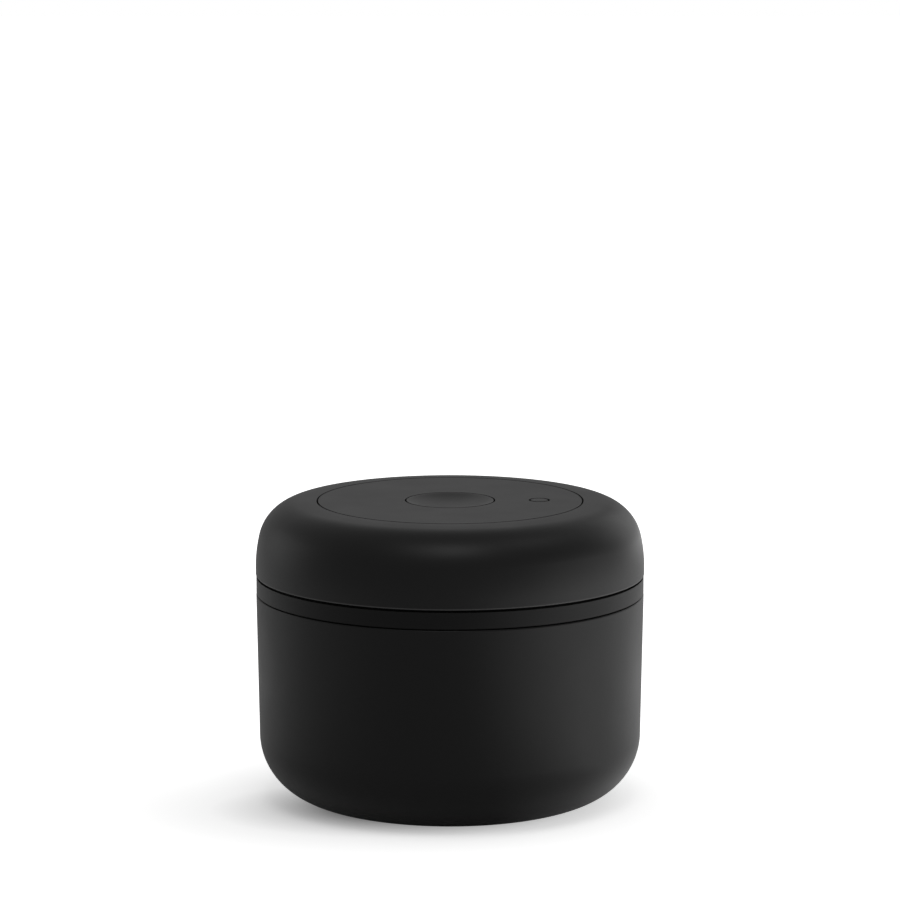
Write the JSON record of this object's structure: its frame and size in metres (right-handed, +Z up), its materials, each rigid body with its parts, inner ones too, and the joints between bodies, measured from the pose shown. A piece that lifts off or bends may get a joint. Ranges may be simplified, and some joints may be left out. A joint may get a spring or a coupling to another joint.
{
  "type": "vacuum coffee canister",
  "caption": "Low round matt black coffee canister whose domed cap twists to pump air out, with a dished release valve button and a vacuum indicator pin in its flush top.",
  "frame": {"origin": "centre of the flat base, on the surface that it stands on", "axes": "+Z up along the axis of the body, +X from the axis towards the indicator pin"},
  "size_m": [0.12, 0.12, 0.0929],
  "materials": {
    "black_coated_steel": "matt powder coat outside, bare steel inside",
    "black_soft_plastic": "fine matt, soft to the touch",
    "black_plastic": "satin moulded",
    "grey_plastic": "satin moulded",
    "white_acetal": "satin moulded",
    "grey_silicone": "matt silicone",
    "dark_rubber": "matt",
    "stainless_steel": "bright drawn",
    "nylon_mesh": "fine woven mesh"
  },
  "bodies": {
    "canister": {"canister_shell": "black_coated_steel"},
    "lid": {"lid_base": "black_plastic", "main_gasket": "grey_silicone", "glide_ring": "black_plastic", "valve_cover": "black_plastic", "dust_screen": "nylon_mesh", "cover_screws": "stainless_steel", "block_gasket": "dark_rubber", "pump_block": "grey_plastic", "face_plate": "black_soft_plastic", "tie_screws": "stainless_steel", "tie_screw_seals": "dark_rubber", "intake_valve_1": "dark_rubber", "intake_valve_2": "dark_rubber", "intake_valve_3": "dark_rubber", "release_spring": "stainless_steel", "indicator_spring": "stainless_steel", "indicator_diaphragm": "dark_rubber", "diaphragm_ring": "grey_plastic"},
    "cap": {"cap_shell": "black_soft_plastic", "cam_ring": "white_acetal", "cam_screws": "stainless_steel"},
    "pump_1": {"piston_1": "white_acetal", "piston_seal_1": "dark_rubber", "exhaust_valve_1": "dark_rubber", "follower_pin_1": "stainless_steel"},
    "pump_2": {"piston_2": "white_acetal", "piston_seal_2": "dark_rubber", "exhaust_valve_2": "dark_rubber", "follower_pin_2": "stainless_steel"},
    "pump_3": {"piston_3": "white_acetal", "piston_seal_3": "dark_rubber", "exhaust_valve_3": "dark_rubber", "follower_pin_3": "stainless_steel"},
    "release": {"release_button": "black_soft_plastic", "release_stem": "stainless_steel", "release_poppet": "dark_rubber", "stem_clip": "stainless_steel"},
    "indicator": {"indicator_pin": "black_soft_plastic"}
  },
  "joints": [
    {"name": "lid_lift", "type": "slide", "parent": "canister", "child": "lid", "axis": [0, 0, 1], "range_m": [0, 0.1]},
    {"name": "cap_twist", "type": "hinge", "parent": "lid", "child": "cap", "pos_m": [0, 0, 0.08], "axis": [0, 0, 1], "range_deg": [-37.5, 37.5]},
    {"name": "pump_stroke_1", "type": "slide", "parent": "lid", "child": "pump_1", "axis": [0, 0, 1], "range_m": [-0.00352, 0.00352]},
    {"name": "pump_stroke_2", "type": "slide", "parent": "lid", "child": "pump_2", "axis": [0, 0, 1], "range_m": [-0.00352, 0.00352]},
    {"name": "pump_stroke_3", "type": "slide", "parent": "lid", "child": "pump_3", "axis": [0, 0, 1], "range_m": [-0.00352, 0.00352]},
    {"name": "button_press", "type": "slide", "parent": "lid", "child": "release", "axis": [0, 0, -1], "range_m": [0, 0.0025], "stiffness_N_per_m": 400, "springref_m": -0.008, "deforming": ["release_spring"]},
    {"name": "indicator_sink", "type": "slide", "parent": "lid", "child": "indicator", "axis": [0, 0, -1], "range_m": [0, 0.002], "stiffness_N_per_m": 100, "springref_m": -0.004, "deforming": ["indicator_spring", "indicator_diaphragm"]}
  ],
  "couplings": [
    {"joint": "pump_stroke_1", "follows": "cap_twist", "m_per_rad": 0.0053476},
    {"joint": "pump_stroke_2", "follows": "cap_twist", "m_per_rad": 0.0053476},
    {"joint": "pump_stroke_3", "follows": "cap_twist", "m_per_rad": 0.0053476}
  ]
}
